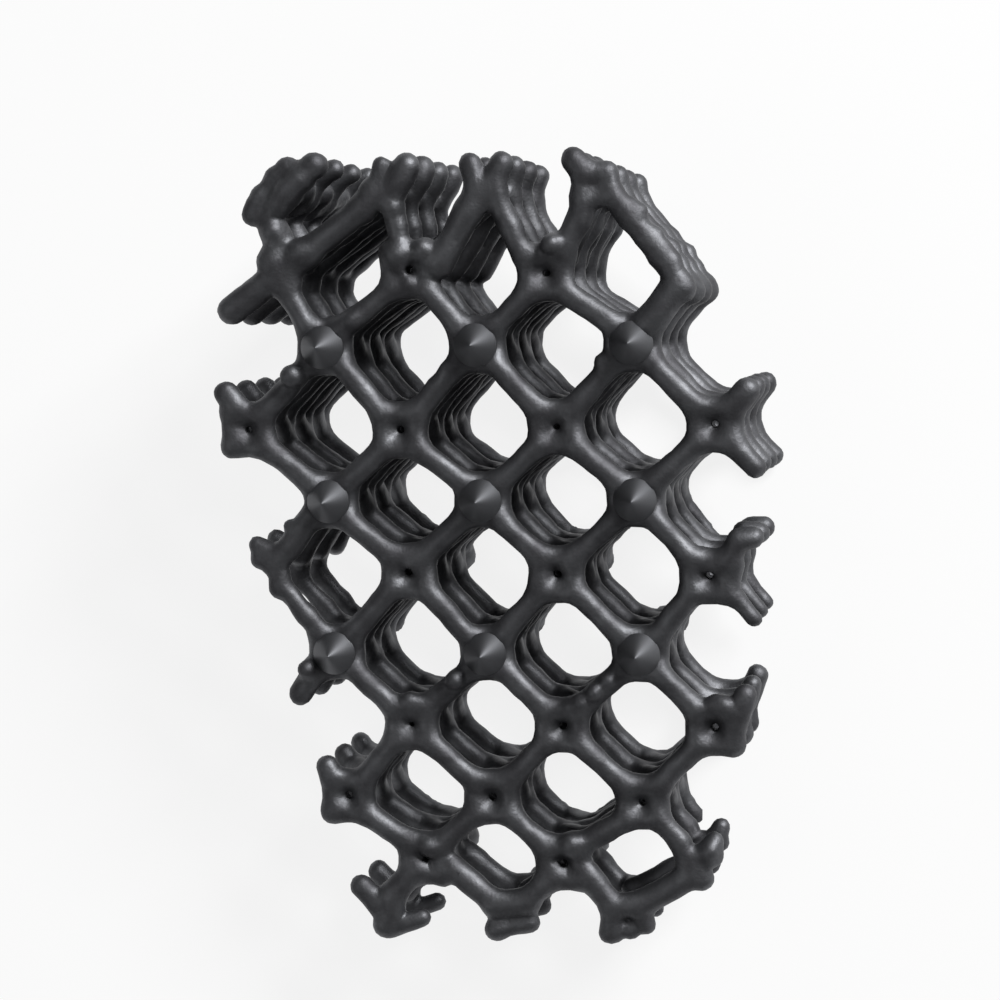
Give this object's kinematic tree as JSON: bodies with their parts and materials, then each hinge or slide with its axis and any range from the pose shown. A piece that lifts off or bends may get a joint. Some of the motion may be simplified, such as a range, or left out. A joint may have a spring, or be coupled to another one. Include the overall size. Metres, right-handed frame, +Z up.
{
  "type": "tibial tuberosity advancement wedge",
  "caption": "Wedge-shaped open strut lattice for bone to grow into, with a spiked front face and a flat cut back face that meet towards the thin end.",
  "frame": {"origin": "on the flat back face that the wedge lies on, under the middle of its bounding box", "axes": "+X across the wedge, +Y along it towards the thick end, +Z up from the back face towards the spiked front face"},
  "size_m": [0.0202, 0.0304, 0.0123],
  "materials": {
    "printed_titanium": "dark grey, smooth satin, as laser-melted titanium after blasting and oxidising"
  },
  "bodies": {
    "root": {"advancement_wedge": "printed_titanium"}
  },
  "joints": []
}
